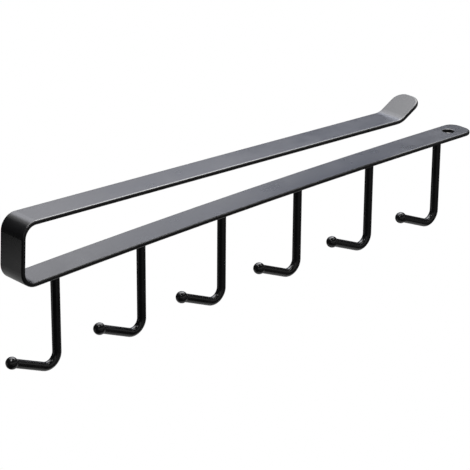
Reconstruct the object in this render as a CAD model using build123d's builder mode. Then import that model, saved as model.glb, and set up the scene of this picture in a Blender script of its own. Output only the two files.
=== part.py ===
from build123d import *
from math import cos, radians, sin, sqrt, tan
import os

# Under-shelf hook rail: a flat strip folded into a long spring clip for a shelf board, with rod hooks below it.
# X runs along the strip from its closed end to its open end, Y across it, Z up. Millimetres and degrees.
# The origin is the clip's inside corner, where the lower arm's top line and the wall's inner line meet.

# Strip, over its coating
strip_width = 15.0
strip_thickness = 2.0
edge_round = 0.8
end_flat = 3.6  # straight stretch left between the two rounded corners of each end

# Clip
bend_radius = 5.3  # inside the two bends of the wall
wall_lean = 3.0  # the wall's foot stands further out than its head
gap_at_wall = 25.6
gap_at_lip = 16.2
upper_arm_length = 225.0  # inside corner to the corner of the lip
lip_rise = 28.5
lip_length = 15.8
lip_bend_radius = 11.0  # on the lip's underside
lower_arm_bow = 1.75  # rise of the lower arm's middle above its ends

# Screw hole near the open end
hole_diameter = 5.5
hole_to_end = 10.7
hole_rim_round = 0.4

# Hooks
hook_count = 6
hook_pitch = 47.5
first_hook = 21.1
last_hook_to_end = 18.8
rod_diameter = 4.0
elbow_drop = 45.3  # strip's underside to the corner of the shank's and the leg's centre lines
elbow_radius = 5.35
leg_rise = 23.0
leg_length = 26.0  # corner to the ball's centre
ball_overhang = 0.75  # how far the ball stands out past the rod
ball_neck_round = 0.3
weld_size = 0.6

# Worked out from the sizes above
lower_arm_length = first_hook + (hook_count - 1) * hook_pitch + last_hook_to_end
bow_radius = (lower_arm_length**2 / 4 + lower_arm_bow**2) / (2 * lower_arm_bow)
end_radius = (strip_width - end_flat) / 2
wall_head = (gap_at_wall * tan(radians(wall_lean)), gap_at_wall)
lip_corner = (upper_arm_length, gap_at_lip)
lip_tip = (
    upper_arm_length + lip_length * cos(radians(lip_rise)),
    gap_at_lip + lip_length * sin(radians(lip_rise)),
)
rod_radius = rod_diameter / 2
ball_radius = rod_radius + ball_overhang
weld_reach = rod_radius + weld_size


def arm_top(x):
    """Height of the bowed lower arm's top line at x."""
    return sqrt(bow_radius**2 - (x - lower_arm_length / 2) ** 2) - bow_radius + lower_arm_bow


os.makedirs("parts", exist_ok=True)

# Strip: lower arm, wall, upper arm and lip, folded from one flat blank
with BuildPart() as clip_strip:
    with BuildSketch(Plane.XZ) as fold:
        with BuildLine() as inner_line:
            SagittaArc((lower_arm_length, 0), (0, 0), -lower_arm_bow)
            Polyline((0, 0), wall_head, lip_corner, lip_tip)
            fillet(inner_line.vertices().sort_by_distance((0, 0))[0], bend_radius)
            fillet(inner_line.vertices().sort_by_distance(wall_head)[0], bend_radius)
            fillet(inner_line.vertices().sort_by_distance(lip_corner)[0], lip_bend_radius)
            offset(amount=strip_thickness, side=Side.LEFT)
        make_face()
    extrude(amount=strip_width / 2, both=True)
    cut_ends = clip_strip.faces().sort_by(SortBy.AREA)[:2]
    fillet(cut_ends.edges().filter_by(Axis.Y, reverse=True), end_radius)
    # the rounding runs on from the long edges round both ends
    side_edges = clip_strip.faces().filter_by(Axis.Y).edges()
    fillet(side_edges.filter_by(lambda edge: edge.length > 2 * strip_thickness), edge_round)
    with Locations((lower_arm_length - hole_to_end, 0, lower_arm_bow)):
        Hole(hole_diameter / 2, depth=lower_arm_bow + 2 * strip_thickness)
    fillet(clip_strip.edges(Select.LAST).filter_by(lambda edge: edge.is_closed), hole_rim_round)
clip_strip.part.label = "clip_strip"
export_step(clip_strip.part, "parts/clip_strip.step")

# Hooks: a straight shank, an elbow and a rising leg bent from one rod, with a ball formed on the leg's end
for number in range(1, hook_count + 1):
    hook_x = first_hook + (number - 1) * hook_pitch
    underside = arm_top(hook_x) - strip_thickness
    blank_head = underside + strip_thickness / 2  # inside the strip, before the head is trimmed to it
    elbow_z = underside - elbow_drop
    ball_centre = (
        hook_x - leg_length * cos(radians(leg_rise)),
        elbow_z + leg_length * sin(radians(leg_rise)),
    )
    with BuildPart() as hook:
        with BuildLine(Plane.XZ) as rod_line:
            FilletPolyline((hook_x, blank_head), (hook_x, elbow_z), ball_centre, radius=elbow_radius)
        with BuildSketch(Plane(rod_line.line @ 0, z_dir=rod_line.line % 0)) as rod_section:
            Circle(rod_radius)
        sweep(path=rod_line.line)
        with Locations(rod_line.line @ 1):
            Sphere(ball_radius)
        ball_neck = hook.edges().filter_by(GeomType.BSPLINE)
        fillet(ball_neck, ball_neck_round)
        # small hollow-faced weld round the shank's head
        with BuildSketch(Plane.XZ) as weld_section:
            with BuildLine() as weld_outline:
                weld_face = RadiusArc(
                    (hook_x + weld_reach, underside),
                    (hook_x + rod_radius, underside - weld_size),
                    -weld_size,
                )
                Polyline(
                    weld_face @ 1,
                    (hook_x, underside - weld_size),
                    (hook_x, blank_head),
                    (hook_x + weld_reach, blank_head),
                    weld_face @ 0,
                )
            make_face()
        revolve(axis=Axis((hook_x, 0, 0), (0, 0, 1)))
        add(clip_strip.part, mode=Mode.SUBTRACT)
    hook.part.label = f"hook_{number}"
    export_step(hook.part, f"parts/hook_{number}.step")
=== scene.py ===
from math import cos, pi, radians, sin
from typing import NamedTuple

import bpy
from mathutils import Matrix, Vector


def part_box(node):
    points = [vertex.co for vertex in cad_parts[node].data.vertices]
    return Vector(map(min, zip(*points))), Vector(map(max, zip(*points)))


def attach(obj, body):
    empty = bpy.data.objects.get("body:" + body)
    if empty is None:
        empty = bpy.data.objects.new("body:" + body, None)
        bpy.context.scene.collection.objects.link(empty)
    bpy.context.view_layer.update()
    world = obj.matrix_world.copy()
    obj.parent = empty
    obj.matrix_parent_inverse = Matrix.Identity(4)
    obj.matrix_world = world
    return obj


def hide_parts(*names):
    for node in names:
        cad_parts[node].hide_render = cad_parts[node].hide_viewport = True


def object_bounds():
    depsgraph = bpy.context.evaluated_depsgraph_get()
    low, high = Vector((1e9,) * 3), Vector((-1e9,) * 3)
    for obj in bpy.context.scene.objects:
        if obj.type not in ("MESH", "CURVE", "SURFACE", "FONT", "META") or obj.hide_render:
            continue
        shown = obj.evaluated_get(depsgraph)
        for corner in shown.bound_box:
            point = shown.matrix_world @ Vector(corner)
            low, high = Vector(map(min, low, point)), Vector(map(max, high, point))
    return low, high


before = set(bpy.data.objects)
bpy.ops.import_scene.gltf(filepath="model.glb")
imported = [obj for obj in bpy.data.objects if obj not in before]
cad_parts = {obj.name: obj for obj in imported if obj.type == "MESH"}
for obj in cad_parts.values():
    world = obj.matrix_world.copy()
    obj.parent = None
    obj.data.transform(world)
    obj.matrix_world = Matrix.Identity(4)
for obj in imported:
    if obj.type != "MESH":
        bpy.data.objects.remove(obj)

bl_info = {
    "name": "Under-shelf hook rail",
    "version": (1, 0, 0),
    "blender": (4, 5, 0),
    "location": "View3D > Sidebar > Hook rail",
    "description": "Coats the rail's strip, makes its hooks and sets them in a white studio",
    "category": "Object",
}

CAD_BOX = [list(corner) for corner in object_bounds()]
STRIP = "clip_strip"
HOOKS = sorted(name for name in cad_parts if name.startswith("hook_"))
BODY = "root"
MM = 0.001

# Powder coat
COAT_GROUP = "powder_coat"
COAT_IOR = 1.5
THICK_BELOW = 0.35  # cloud noise under this is full coat
THIN_ABOVE = 0.65  # cloud noise over this is thin coat

# Fineness of the hooks' meshes
RINGS = 190
WELD_RINGS = 14
BALL_RINGS = 44
RING_SIDES = 32
ELBOW_POINTS = 40
TIP_RADIUS = 0.01 * MM  # last ring, at the ball's far side
WELD_LUMP = 1.25 * MM  # width of one swelling of the weld
NOISE_MIDDLE = 0.5  # where the weld neither swells nor sinks

# Studio
FLOOR_REACH = 20.0
SENSOR_WIDTH = 36.0
NEAR_CLIP = 10 * MM


class RailCoatSettings(bpy.types.PropertyGroup):
    """Finish of the rail: a satin black powder coat, baked on over the bent and welded steel."""

    colour: bpy.props.FloatVectorProperty(
        name="Coat colour",
        description="Colour of the coat where it lies thick",
        subtype="COLOR",
        size=3,
        default=(0.0055, 0.0055, 0.006),
        min=0.0,
        max=1.0,
    )
    thin_colour: bpy.props.FloatVectorProperty(
        name="Thin coat colour",
        description="Colour of the coat in its thinner, slightly greyer clouds",
        subtype="COLOR",
        size=3,
        default=(0.0085, 0.0085, 0.0095),
        min=0.0,
        max=1.0,
    )
    cloud_size: bpy.props.FloatProperty(
        name="Cloud size",
        description="Width of the clouds in the coat's colour and gloss",
        unit="LENGTH",
        default=14 * MM,
        min=1 * MM,
    )
    peel_size: bpy.props.FloatProperty(
        name="Peel size",
        description="Width of one swelling of the orange peel",
        unit="LENGTH",
        default=1.3 * MM,
        min=0.1 * MM,
    )
    peel_height: bpy.props.FloatProperty(
        name="Peel height",
        description="Height of the orange peel",
        unit="LENGTH",
        default=0.006 * MM,
        min=0.0,
        precision=6,
    )
    strip_gloss: bpy.props.FloatVectorProperty(
        name="Strip roughness",
        description="Lowest and highest roughness of the coat on the strip",
        size=2,
        default=(0.27, 0.33),
        min=0.0,
        max=1.0,
    )
    hook_gloss: bpy.props.FloatVectorProperty(
        name="Hook roughness",
        description="Lowest and highest roughness of the coat on the hooks",
        size=2,
        default=(0.22, 0.30),
        min=0.0,
        max=1.0,
    )


class RailHookSettings(bpy.types.PropertyGroup):
    """Sizes of the rod hooks: a shank, an elbow and a rising leg with a ball on its end."""

    first_place: bpy.props.FloatProperty(
        name="First hook",
        description="From the clip's inside corner to the first shank",
        unit="LENGTH",
        default=21.1 * MM,
    )
    pitch: bpy.props.FloatProperty(
        name="Pitch",
        description="From one shank to the next",
        unit="LENGTH",
        default=47.5 * MM,
        min=1 * MM,
    )
    rod_diameter: bpy.props.FloatProperty(
        name="Rod diameter",
        description="Thickness of the rod over its coat",
        unit="LENGTH",
        default=4.0 * MM,
        min=0.5 * MM,
    )
    elbow_drop: bpy.props.FloatProperty(
        name="Elbow drop",
        description="From the strip's underside to the corner of the shank's and the leg's middle lines",
        unit="LENGTH",
        default=45.3 * MM,
        min=1 * MM,
    )
    elbow_radius: bpy.props.FloatProperty(
        name="Elbow radius",
        description="Bend of the rod's middle line",
        unit="LENGTH",
        default=5.35 * MM,
        min=0.5 * MM,
    )
    leg_rise: bpy.props.FloatProperty(
        name="Leg rise",
        description="How steeply the leg rises from the elbow to the ball",
        subtype="ANGLE",
        default=radians(23.0),
    )
    leg_length: bpy.props.FloatProperty(
        name="Leg length",
        description="From the corner to the ball's middle",
        unit="LENGTH",
        default=26.0 * MM,
        min=1 * MM,
    )
    ball_diameter: bpy.props.FloatProperty(
        name="Ball diameter",
        description="Thickness of the ball over its coat",
        unit="LENGTH",
        default=5.5 * MM,
        min=0.5 * MM,
    )
    neck_round: bpy.props.FloatProperty(
        name="Neck round",
        description="Hollow rounding between the rod and the ball",
        unit="LENGTH",
        default=0.3 * MM,
        min=0.01 * MM,
    )
    weld_size: bpy.props.FloatProperty(
        name="Weld size",
        description="Hollow weld between the shank and the strip",
        unit="LENGTH",
        default=0.6 * MM,
        min=0.01 * MM,
    )
    weld_wave: bpy.props.FloatProperty(
        name="Weld wave",
        description="How far the weld's surface swells and sinks under its coat",
        unit="LENGTH",
        default=0.08 * MM,
        min=0.0,
        precision=5,
    )
    head_depth: bpy.props.FloatProperty(
        name="Head depth",
        description="How far the shank reaches into the strip, so that no gap shows at its bowed side",
        unit="LENGTH",
        default=0.3 * MM,
        min=0.0,
    )


class RailStudioSettings(bpy.types.PropertyGroup):
    """Camera and brightness of the white studio round the rail."""

    aim: bpy.props.FloatVectorProperty(
        name="Aim",
        description="Point in the middle of the picture",
        subtype="XYZ_LENGTH",
        size=3,
        default=(124.331 * MM, 0.0, -14.573 * MM),
    )
    distance: bpy.props.FloatProperty(
        name="Distance",
        description="From the camera to the aim",
        unit="LENGTH",
        default=991.171 * MM,
        min=0.01,
    )
    turn: bpy.props.FloatProperty(
        name="Turn",
        description="How far the camera's look is turned from across the strip towards its open end",
        subtype="ANGLE",
        default=radians(43.319),
    )
    look_down: bpy.props.FloatProperty(
        name="Look down",
        description="How steeply the camera looks down",
        subtype="ANGLE",
        default=radians(22.842),
    )
    roll: bpy.props.FloatProperty(
        name="Roll",
        description="How far the camera is turned about its own look",
        subtype="ANGLE",
        default=radians(0.4686),
    )
    lens: bpy.props.FloatProperty(
        name="Lens",
        description="Focal length on a sensor 36 mm wide",
        unit="CAMERA",
        default=169.011,
        min=1.0,
    )
    floor_drop: bpy.props.FloatProperty(
        name="Floor drop",
        description="Room left between the lowest hook and the floor",
        unit="LENGTH",
        default=6 * MM,
        min=0.0,
    )
    room_glow: bpy.props.FloatProperty(
        name="Room glow",
        description="Brightness of the dim room that the coat reflects between the lights",
        default=0.03,
        min=0.0,
    )


class SoftLight(NamedTuple):
    """A flat soft light: its middle, the way it faces, its size, its brightness and its tint."""

    name: str
    middle: tuple
    facing: tuple
    width: float
    height: float
    brightness: float
    tint: tuple


class Row(NamedTuple):
    """Soft lights side by side along the rail, between a lower and an upper line given as (y, z)."""

    name: str
    low: tuple
    high: tuple
    start: float
    fields: tuple  # for each light, the x where it ends, its brightness and its tint


WHITE = (1.0, 1.0, 1.0)
FAINT = (0.92, 0.93, 1.0)
PALE = (0.81, 0.85, 1.0)
COOL = (0.60, 0.70, 1.0)

# Lines of an arch behind and above the rail, from its foot over the top
FOOT = (0.42, 0.17)
EAVES = (0.42, 0.30)
SHOULDER = (0.30, 0.41)
CROWN = (0.15, 0.48)
RIDGE = (0.0, 0.50)
FRONT = (-0.15, 0.48)

# The arms' faces mirror the two back rows, and their rounded front edges mirror the rows above
ARCH = (
    Row("back_low", FOOT, EAVES, 0.10, (
        (0.25, 2.8, FAINT), (0.40, 2.2, FAINT), (0.55, 1.58, PALE), (0.70, 0.48, COOL),
    )),
    Row("back", EAVES, SHOULDER, -0.05, ((0.10, 0.8, WHITE), (0.55, 3.6, FAINT), (0.85, 4.7, PALE))),
    Row("over", SHOULDER, CROWN, -0.05, (
        (0.25, 5.2, WHITE), (0.40, 7.0, WHITE), (0.62, 10.0, WHITE), (0.85, 4.0, WHITE),
    )),
    Row("top_back", CROWN, RIDGE, 0.25, ((0.62, 19.0, WHITE), (0.85, 3.0, WHITE))),
    Row("top_front", RIDGE, FRONT, 0.25, ((0.85, 5.5, WHITE),)),
)

# Single lights: over the closed end, under the hooks, beside the wall, at the open end and in front
CARDS = (
    SoftLight("top_left", (0.090, 0.0, 0.490), (0.0, 0.0, -1.0), 0.32, 0.12, 14.0, WHITE),
    SoftLight("top_far_left", (-0.150, -0.080, 0.470), (0.3, 0.16, -0.94), 0.16, 0.08, 22.0, WHITE),
    SoftLight("card_below", (0.200, 0.0, -0.220), (0.0, 0.0, 1.0), 0.40, 0.26, 0.5, WHITE),
    SoftLight("card_below_back", (0.0, 0.220, -0.220), (0.0, -0.4, 0.9), 0.28, 0.18, 0.5, WHITE),
    SoftLight("card_at_wall", (-0.077, 0.081, -0.055), (0.624, -0.676, 0.39), 0.06, 0.06, 0.5, WHITE),
    SoftLight("card_right_back", (0.650, 0.330, -0.150), (-0.85, -0.45, 0.2), 0.30, 0.25, 0.47, WHITE),
    SoftLight("card_right_front", (0.650, -0.250, -0.150), (-0.9, 0.4, 0.2), 0.30, 0.25, 0.15, WHITE),
    SoftLight("card_front", (0.100, -0.600, -0.150), (0.0, 1.0, 0.2), 0.70, 0.25, 0.2, WHITE),
    SoftLight("front_fill", (0.130, -0.900, 0.300), (0.0, 1.0, -0.3), 0.90, 0.45, 0.45, WHITE),
    SoftLight("front_fill_right", (0.850, -0.650, 0.250), (-0.72, 0.65, -0.25), 0.70, 0.40, 0.4, WHITE),
    SoftLight("front_fill_left", (-0.600, -0.650, 0.250), (0.72, 0.65, -0.25), 0.70, 0.40, 0.45, WHITE),
)


class Nodes:
    """Adds nodes to a tree, each with its inputs linked or set as it is made."""

    def __init__(self, tree):
        self.tree = tree

    def plug(self, value, socket):
        """Links an output to an input, or sets the input to a plain value."""
        if isinstance(value, bpy.types.NodeSocket):
            self.tree.links.new(value, socket)
        else:
            socket.default_value = value

    def add(self, kind, inputs=None, **settings):
        """A node with its settings and its inputs, which are given by name or number."""
        node = self.tree.nodes.new(kind)
        for name, value in settings.items():
            setattr(node, name, value)
        for name, value in (inputs or {}).items():
            self.plug(value, node.inputs[name])
        return node

    def maths(self, operation, *values):
        """The result of a sum on sockets and plain numbers."""
        node = self.add("ShaderNodeMath", dict(enumerate(values)), operation=operation)
        return node.outputs["Value"]

    def plus(self, first, second):
        return self.maths("ADD", first, second)

    def minus(self, first, second):
        return self.maths("SUBTRACT", first, second)

    def times(self, first, second):
        return self.maths("MULTIPLY", first, second)

    def over(self, first, second):
        return self.maths("DIVIDE", first, second)

    def at_least(self, value, least):
        return self.maths("MAXIMUM", value, least)

    def square(self, value):
        return self.times(value, value)

    def root(self, value):
        """Square root, with anything below zero taken as zero."""
        return self.maths("SQRT", self.at_least(value, 0.0))

    def share(self, value, low, high):
        """How far a value is from low to high, kept between 0 and 1."""
        node = self.add("ShaderNodeMapRange", {"Value": value, "From Min": low, "From Max": high})
        return node.outputs["Result"]

    def point(self, x, z):
        """A point in the hook's own plane."""
        return self.add("ShaderNodeCombineXYZ", {"X": x, "Z": z}).outputs["Vector"]


def new_group(name, kind, sockets):
    """An empty node group with its sockets, given as (in or out, type, name), and its two end nodes."""
    group = bpy.data.node_groups.new(name, kind)
    for way, socket_type, label in sockets:
        group.interface.new_socket(label, in_out=way, socket_type=socket_type)
    given = group.nodes.new("NodeGroupInput").outputs
    result = group.nodes.new("NodeGroupOutput").inputs
    return group, given, result


def link_object(name, data):
    """A new object in the scene."""
    made = bpy.data.objects.new(name, data)
    bpy.context.scene.collection.objects.link(made)
    return made


def coat_group():
    """Shader group of the powder coat: clouded colour, clouded roughness and its orange peel's height."""
    group, given, result = new_group(COAT_GROUP, "ShaderNodeTree", (
        ("INPUT", "NodeSocketColor", "Coat colour"),
        ("INPUT", "NodeSocketColor", "Thin colour"),
        ("INPUT", "NodeSocketFloat", "Cloud scale"),
        ("INPUT", "NodeSocketFloat", "Peel scale"),
        ("INPUT", "NodeSocketFloat", "Roughness low"),
        ("INPUT", "NodeSocketFloat", "Roughness high"),
        ("OUTPUT", "NodeSocketColor", "Colour"),
        ("OUTPUT", "NodeSocketFloat", "Roughness"),
        ("OUTPUT", "NodeSocketFloat", "Height"),
    ))
    build = Nodes(group)
    place = build.add("ShaderNodeTexCoord").outputs["Object"]
    clouds = build.add("ShaderNodeTexNoise", {
        "Vector": place, "Scale": given["Cloud scale"], "Detail": 3.0, "Roughness": 0.55,
    })
    thin = build.share(clouds.outputs["Fac"], THICK_BELOW, THIN_ABOVE)
    colour = build.add("ShaderNodeMix", data_type="RGBA")
    build.plug(thin, colour.inputs["Factor"])
    build.plug(given["Coat colour"], colour.inputs["A"])
    build.plug(given["Thin colour"], colour.inputs["B"])
    gloss = build.add("ShaderNodeMapRange", {
        "Value": thin, "To Min": given["Roughness low"], "To Max": given["Roughness high"],
    })
    peel = build.add("ShaderNodeTexNoise", {
        "Vector": place, "Scale": given["Peel scale"], "Detail": 2.0, "Roughness": 0.4,
    })
    build.plug(colour.outputs["Result"], result["Colour"])
    build.plug(gloss.outputs["Result"], result["Roughness"])
    build.plug(peel.outputs["Fac"], result["Height"])
    return group


def coat_material(name, coat, gloss):
    """Powder coat on one kind of piece, from the shared group, with its own range of gloss."""
    material = bpy.data.materials.new(name)
    material.use_nodes = True
    build = Nodes(material.node_tree)
    finish = build.add("ShaderNodeGroup", {
        "Coat colour": (*coat.colour, 1.0),
        "Thin colour": (*coat.thin_colour, 1.0),
        "Cloud scale": 1 / coat.cloud_size,
        "Peel scale": 1 / coat.peel_size,
        "Roughness low": gloss[0],
        "Roughness high": gloss[1],
    }, node_tree=bpy.data.node_groups.get(COAT_GROUP) or coat_group())
    bump = build.add("ShaderNodeBump", {
        "Strength": 1.0, "Distance": coat.peel_height, "Height": finish.outputs["Height"],
    })
    shader = material.node_tree.nodes["Principled BSDF"].inputs
    build.plug(0.0, shader["Metallic"])
    build.plug(COAT_IOR, shader["IOR"])
    build.plug(finish.outputs["Colour"], shader["Base Color"])
    build.plug(finish.outputs["Roughness"], shader["Roughness"])
    build.plug(bump.outputs["Normal"], shader["Normal"])
    return material


class HOOKRAIL_OT_coat_strip(bpy.types.Operator):
    """Coat the folded strip"""

    bl_idname = "hook_rail.coat_strip"
    bl_label = "Coat the strip"

    def execute(self, context):
        coat = context.scene.rail_coat
        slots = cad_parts[STRIP].data.materials
        slots.clear()
        slots.append(coat_material("strip_coat", coat, coat.strip_gloss))
        return {"FINISHED"}


def hook_path(build, given):
    """The rod's middle line: down the shank, round the elbow and up the leg to the ball's far side."""
    head = build.point(0.0, given["Head depth"])
    corner = build.point(0.0, build.times(given["Elbow drop"], -1.0))
    reach = build.plus(given["Leg length"], given["Ball radius"])
    along = build.times(build.maths("COSINE", given["Leg rise"]), reach)
    rise = build.times(build.maths("SINE", given["Leg rise"]), reach)
    tip = build.point(build.times(along, -1.0), build.minus(rise, given["Elbow drop"]))

    # a straight line of three points, whose middle one goes to the corner
    straight = build.add("GeometryNodeCurvePrimitiveLine", {"Start": head, "End": tip})
    three = build.add("GeometryNodeResampleCurve", {"Curve": straight.outputs["Curve"], "Count": 3})
    index = build.add("GeometryNodeInputIndex").outputs["Index"]
    bent = build.add("GeometryNodeSetPosition", {
        "Geometry": three.outputs["Curve"],
        "Selection": build.maths("COMPARE", index, 1.0, 0.1),
        "Position": corner,
    })
    rounded = build.add("GeometryNodeFilletCurve", {
        "Curve": bent.outputs["Geometry"], "Count": ELBOW_POINTS, "Radius": given["Elbow radius"],
    }, mode="POLY")
    return rounded.outputs["Curve"]


def ring_runs(build, given, length, neck_length):
    """How far along the path each ring stands: close together at the weld and round the ball."""
    index = build.add("GeometryNodeInputIndex").outputs["Index"]
    last_ring = RINGS - 1
    last_rod_ring = last_ring - BALL_RINGS
    head_length = build.plus(given["Head depth"], given["Weld size"])
    end_length = build.plus(given["Ball radius"], neck_length)
    rod_length = build.minus(build.minus(length, head_length), end_length)
    swing = build.maths("COSINE", build.times(build.share(index, last_rod_ring, last_ring), pi))
    eased = build.times(build.minus(1.0, swing), 0.5)
    in_head = build.times(build.share(index, 0, WELD_RINGS), head_length)
    in_rod = build.times(build.share(index, WELD_RINGS, last_rod_ring), rod_length)
    in_end = build.times(eased, end_length)
    return build.plus(build.plus(in_head, in_rod), in_end)


def rod_radius(build, given, past_middle, both, out, neck_length):
    """Radius of the rod, its neck's hollow and its ball, by how far a ring is past the ball's middle."""
    ball = given["Ball radius"]
    neck = given["Neck round"]
    into_neck = build.at_least(build.plus(past_middle, neck_length), 0.0)
    hollow = build.root(build.minus(build.square(neck), build.square(into_neck)))
    rod_and_neck = build.minus(out, hollow)
    ball_part = build.minus(build.square(ball), build.square(past_middle))
    ball_ring = build.root(build.at_least(ball_part, TIP_RADIUS**2))
    neck_end = build.times(build.over(build.times(ball, neck_length), both), -1.0)
    before_ball = build.maths("LESS_THAN", past_middle, neck_end)
    radius = build.add("ShaderNodeMix", {"Factor": before_ball, "A": ball_ring, "B": rod_and_neck})
    return radius.outputs["Result"]


def lumpy_weld(build, given, mesh, weld_share):
    """The swept rod with its weld's uneven surface, different at each hook."""
    here = build.add("GeometryNodeInputPosition").outputs["Position"]
    shifted = build.add("ShaderNodeVectorMath", {0: here, 1: given["Place"]}, operation="ADD")
    wave = build.add("ShaderNodeTexNoise", {
        "Vector": shifted.outputs["Vector"], "Scale": 1 / WELD_LUMP, "Detail": 2.0,
    })
    both_ways = build.times(given["Weld wave"], 2.0)
    swell = build.times(build.minus(wave.outputs["Fac"], NOISE_MIDDLE), both_ways)
    normal = build.add("GeometryNodeInputNormal").outputs["Normal"]
    offset = build.add("ShaderNodeVectorMath", {
        0: normal, "Scale": build.times(swell, weld_share),
    }, operation="SCALE")
    uneven = build.add("GeometryNodeSetPosition", {"Geometry": mesh, "Offset": offset.outputs["Vector"]})
    return uneven.outputs["Geometry"]


def hook_tree():
    """Geometry tree of one hook: its path, swept with the radius of the weld, the rod and the ball."""
    group, given, result = new_group("rod_hook", "GeometryNodeTree", (
        ("OUTPUT", "NodeSocketGeometry", "Hook"),
        ("INPUT", "NodeSocketVector", "Place"),
        ("INPUT", "NodeSocketFloat", "Rod radius"),
        ("INPUT", "NodeSocketFloat", "Elbow drop"),
        ("INPUT", "NodeSocketFloat", "Elbow radius"),
        ("INPUT", "NodeSocketFloat", "Leg rise"),
        ("INPUT", "NodeSocketFloat", "Leg length"),
        ("INPUT", "NodeSocketFloat", "Ball radius"),
        ("INPUT", "NodeSocketFloat", "Neck round"),
        ("INPUT", "NodeSocketFloat", "Weld size"),
        ("INPUT", "NodeSocketFloat", "Weld wave"),
        ("INPUT", "NodeSocketFloat", "Head depth"),
        ("INPUT", "NodeSocketMaterial", "Coat"),
    ))
    build = Nodes(group)
    path = hook_path(build, given)
    length = build.add("GeometryNodeCurveLength", {"Curve": path}).outputs["Length"]

    # the neck's hollow, a circle that touches the rod and the ball
    both = build.plus(given["Ball radius"], given["Neck round"])
    out = build.plus(given["Rod radius"], given["Neck round"])
    neck_length = build.root(build.minus(build.square(both), build.square(out)))

    run = ring_runs(build, given, length, neck_length)
    past_middle = build.plus(build.minus(run, length), given["Ball radius"])
    rod = rod_radius(build, given, past_middle, both, out, neck_length)

    # the weld's hollow, a quarter circle between the strip and the rod
    weld = given["Weld size"]
    below_strip = build.at_least(build.minus(run, given["Head depth"]), 0.0)
    weld_left = build.at_least(build.minus(weld, below_strip), 0.0)
    weld_hollow = build.root(build.minus(build.square(weld), build.square(weld_left)))
    radius = build.plus(rod, build.minus(weld, weld_hollow))

    spots = build.add("GeometryNodeMeshLine", {"Count": RINGS})
    on_path = build.add("GeometryNodeSampleCurve", {"Curves": path, "Length": run}, mode="LENGTH")
    placed = build.add("GeometryNodeSetPosition", {
        "Geometry": spots.outputs["Mesh"], "Position": on_path.outputs["Position"],
    })
    line = build.add("GeometryNodeMeshToCurve", {"Mesh": placed.outputs["Geometry"]})
    welded = build.add("GeometryNodeCaptureAttribute", {"Geometry": line.outputs["Curve"]})
    welded.capture_items.new("FLOAT", "Weld")
    build.plug(build.over(weld_left, weld), welded.inputs["Weld"])
    ring = build.add("GeometryNodeCurvePrimitiveCircle", {"Resolution": RING_SIDES, "Radius": 1.0})
    swept = build.add("GeometryNodeCurveToMesh", {
        "Curve": welded.outputs["Geometry"],
        "Profile Curve": ring.outputs["Curve"],
        "Scale": radius,
        "Fill Caps": True,
    })
    uneven = lumpy_weld(build, given, swept.outputs["Mesh"], welded.outputs["Weld"])
    moved = build.add("GeometryNodeTransform", {"Geometry": uneven, "Translation": given["Place"]})
    smooth = build.add("GeometryNodeSetShadeSmooth", {"Geometry": moved.outputs["Geometry"]})
    real = build.add("GeometryNodeRealizeInstances", {"Geometry": smooth.outputs["Geometry"]})
    coated = build.add("GeometryNodeSetMaterial", {
        "Geometry": real.outputs["Geometry"], "Material": given["Coat"],
    })
    build.plug(coated.outputs["Geometry"], result["Hook"])
    return group


def grow(name, tree, values):
    """A plain mesh object made by a geometry tree."""
    made = link_object(name, bpy.data.meshes.new(name))
    modifier = made.modifiers.new("tree", "NODES")
    modifier.node_group = tree
    for item in tree.interface.items_tree:
        if item.in_out == "INPUT":
            modifier[item.identifier] = values[item.name]
    evaluated = made.evaluated_get(bpy.context.evaluated_depsgraph_get())
    mesh = bpy.data.meshes.new_from_object(evaluated)
    made.modifiers.remove(modifier)
    made.data = mesh
    mesh.name = name
    return made


class HOOKRAIL_OT_make_hooks(bpy.types.Operator):
    """Make the six rod hooks"""

    bl_idname = "hook_rail.make_hooks"
    bl_label = "Make the hooks"

    def execute(self, context):
        sizes = context.scene.rail_hooks
        coat = context.scene.rail_coat
        values = {
            "Rod radius": sizes.rod_diameter / 2,
            "Elbow drop": sizes.elbow_drop,
            "Elbow radius": sizes.elbow_radius,
            "Leg rise": sizes.leg_rise,
            "Leg length": sizes.leg_length,
            "Ball radius": sizes.ball_diameter / 2,
            "Neck round": sizes.neck_round,
            "Weld size": sizes.weld_size,
            "Weld wave": sizes.weld_wave,
            "Head depth": sizes.head_depth,
            "Coat": coat_material("hook_coat", coat, coat.hook_gloss),
        }
        tree = hook_tree()
        for number, node in enumerate(HOOKS):
            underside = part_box(node)[1][2]
            values["Place"] = (sizes.first_place + number * sizes.pitch, 0.0, underside)
            hook = grow(f"rod_{node}", tree, values)
            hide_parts(node)
            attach(hook, BODY)
        return {"FINISHED"}


def row_lights(row):
    """The soft lights of one row, each from the end of the one before it and facing the rail."""
    low_y, low_z = row.low
    high_y, high_z = row.high
    rise = Vector((0.0, high_y - low_y, high_z - low_z))
    facing = (0.0, -rise.z, rise.y)
    left = row.start
    lights = []
    for number, (right, brightness, tint) in enumerate(row.fields, start=1):
        middle = ((left + right) / 2, (low_y + high_y) / 2, (low_z + high_z) / 2)
        name = f"{row.name}_{number}"
        lights.append(SoftLight(name, middle, facing, right - left, rise.length, brightness, tint))
        left = right
    return lights


def add_light(soft):
    """A soft rectangular light that the coat reflects and the camera doesn't see."""
    light = bpy.data.lights.new(soft.name, "AREA")
    light.shape = "RECTANGLE"
    light.size = soft.width
    light.size_y = soft.height
    light.energy = soft.brightness * soft.width * soft.height * pi
    light.color = soft.tint
    lamp = link_object(soft.name, light)
    lamp.location = soft.middle
    lamp.rotation_euler = Vector(soft.facing).to_track_quat("-Z", "Y").to_euler()
    lamp.visible_camera = False


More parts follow.
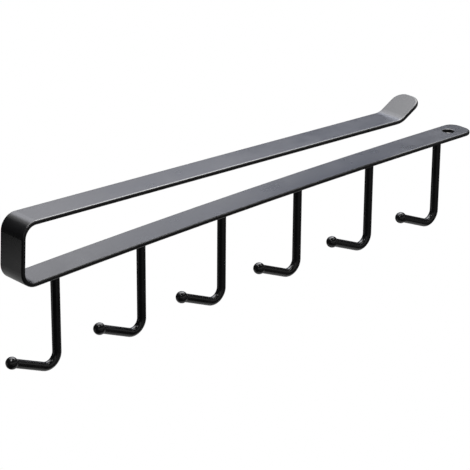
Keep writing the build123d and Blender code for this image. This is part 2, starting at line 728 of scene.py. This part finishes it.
def floor_material():
    """White from above without any light, and clear from below, so that the hooks' undersides show."""
    material = bpy.data.materials.new("white_floor")
    material.use_nodes = True
    material.node_tree.nodes.clear()
    build = Nodes(material.node_tree)
    glow = build.add("ShaderNodeEmission", {"Color": (*WHITE, 1.0)})
    clear = build.add("ShaderNodeBsdfTransparent")
    side = build.add("ShaderNodeNewGeometry")
    either = build.add("ShaderNodeMixShader", {
        "Fac": side.outputs["Backfacing"], 1: glow.outputs["Emission"], 2: clear.outputs["BSDF"],
    })
    build.add("ShaderNodeOutputMaterial", {"Surface": either.outputs["Shader"]})
    return material


def add_floor(drop):
    """A wide white floor under the hooks, kept out of the coat's reflections."""
    height = CAD_BOX[0][2] - drop
    corners = [
        (-FLOOR_REACH, -FLOOR_REACH, height),
        (FLOOR_REACH, -FLOOR_REACH, height),
        (FLOOR_REACH, FLOOR_REACH, height),
        (-FLOOR_REACH, FLOOR_REACH, height),
    ]
    mesh = bpy.data.meshes.new("floor")
    mesh.from_pydata(corners, [], [(0, 1, 2, 3)])
    mesh.materials.append(floor_material())
    floor = link_object("floor", mesh)
    floor.visible_glossy = False
    floor.visible_diffuse = False
    floor.visible_shadow = False


def set_room(glow):
    """White behind the rail for the camera, and a dim room for everything else."""
    world = bpy.data.worlds.new("studio")
    bpy.context.scene.world = world
    world.use_nodes = True
    build = Nodes(world.node_tree)
    seen = build.add("ShaderNodeLightPath").outputs["Is Camera Ray"]
    strength = build.add("ShaderNodeMapRange", {"Value": seen, "To Min": glow, "To Max": 1.0})
    room = world.node_tree.nodes["Background"].inputs
    build.plug((*WHITE, 1.0), room["Color"])
    build.plug(strength.outputs["Result"], room["Strength"])


def add_camera(studio):
    """The camera at the photograph's viewing angle."""
    data = bpy.data.cameras.new("camera")
    data.sensor_width = SENSOR_WIDTH
    data.lens = studio.lens
    data.clip_start = NEAR_CLIP
    camera = link_object("camera", data)
    look = Vector((
        sin(studio.turn) * cos(studio.look_down),
        cos(studio.turn) * cos(studio.look_down),
        -sin(studio.look_down),
    ))
    level_right = Vector((cos(studio.turn), -sin(studio.turn), 0.0))
    level_up = level_right.cross(look)
    right = level_right * cos(studio.roll) + level_up * sin(studio.roll)
    up = level_up * cos(studio.roll) - level_right * sin(studio.roll)
    turned = Matrix((right, up, -look)).transposed().to_4x4()
    camera.matrix_world = Matrix.Translation(Vector(studio.aim) - look * studio.distance) @ turned
    bpy.context.scene.camera = camera


class HOOKRAIL_OT_set_stage(bpy.types.Operator):
    """Set up the floor, the lights and the camera"""

    bl_idname = "hook_rail.set_stage"
    bl_label = "Set the stage"

    def execute(self, context):
        studio = context.scene.rail_studio
        add_floor(studio.floor_drop)
        set_room(studio.room_glow)
        for row in ARCH:
            for soft in row_lights(row):
                add_light(soft)
        for soft in CARDS:
            add_light(soft)
        add_camera(studio)
        context.scene.view_settings.view_transform = "Standard"
        return {"FINISHED"}


class HOOKRAIL_PT_panel(bpy.types.Panel):
    """Settings and steps of the hook rail"""

    bl_idname = "HOOKRAIL_PT_panel"
    bl_label = "Hook rail"
    bl_space_type = "VIEW_3D"
    bl_region_type = "UI"
    bl_category = "Hook rail"

    def draw(self, context):
        for settings in (context.scene.rail_coat, context.scene.rail_hooks, context.scene.rail_studio):
            box = self.layout.box()
            for name in settings.__annotations__:
                box.prop(settings, name)
        for operator in OPERATORS:
            self.layout.operator(operator.bl_idname)


OPERATORS = (HOOKRAIL_OT_coat_strip, HOOKRAIL_OT_make_hooks, HOOKRAIL_OT_set_stage)
CLASSES = (RailCoatSettings, RailHookSettings, RailStudioSettings, *OPERATORS, HOOKRAIL_PT_panel)


def register():
    for made_class in CLASSES:
        bpy.utils.register_class(made_class)
    bpy.types.Scene.rail_coat = bpy.props.PointerProperty(type=RailCoatSettings)
    bpy.types.Scene.rail_hooks = bpy.props.PointerProperty(type=RailHookSettings)
    bpy.types.Scene.rail_studio = bpy.props.PointerProperty(type=RailStudioSettings)


def unregister():
    del bpy.types.Scene.rail_studio
    del bpy.types.Scene.rail_hooks
    del bpy.types.Scene.rail_coat
    for made_class in reversed(CLASSES):
        bpy.utils.unregister_class(made_class)


def main():
    register()
    bpy.ops.hook_rail.coat_strip()
    bpy.ops.hook_rail.make_hooks()
    bpy.ops.hook_rail.set_stage()


if __name__ == "__main__":
    main()
